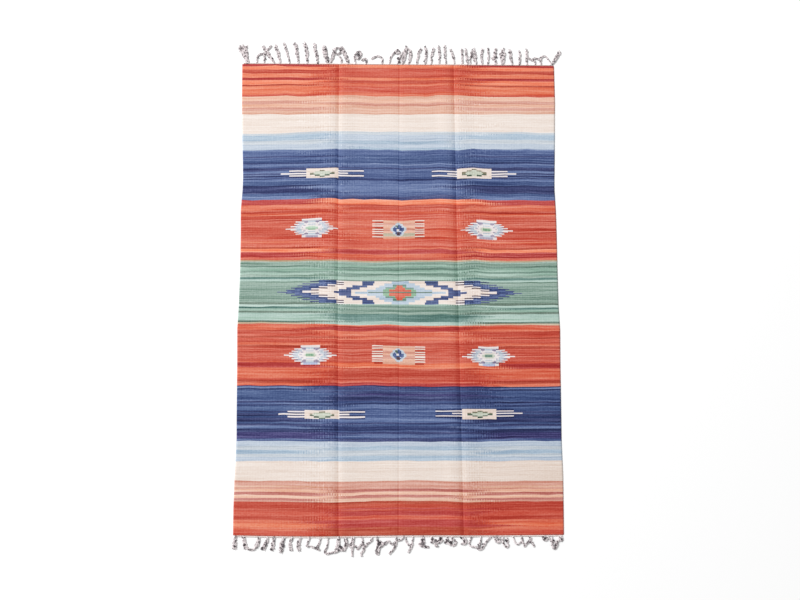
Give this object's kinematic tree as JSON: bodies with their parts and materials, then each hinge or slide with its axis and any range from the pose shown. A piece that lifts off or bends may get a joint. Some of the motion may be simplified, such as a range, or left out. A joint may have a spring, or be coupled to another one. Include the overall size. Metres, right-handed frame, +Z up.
{
  "type": "kilim rug",
  "caption": "Flat-woven cotton rug lying on a floor: cross bands of colour with stepped diamond motifs, soft lengthwise folds and a warp fringe at each end.",
  "frame": {"origin": "middle of the woven field, on the floor, at the cloth's underside", "axes": "+Z up; +Y along the warps, towards the end with the longer fringe, which is the far end in the picture; +X to the right in the picture"},
  "size_m": [1.2364, 1.9645, 0.0074],
  "materials": {
    "weft_cotton": "matt flat-woven cotton in bands of orange red, salmon, cream, light blue, navy and yellow green",
    "warp_cotton": "matt undyed plied cotton cord"
  },
  "bodies": {
    "root": {"rug_field": "weft_cotton", "fringe_far": "warp_cotton", "fringe_near": "warp_cotton"}
  },
  "joints": []
}
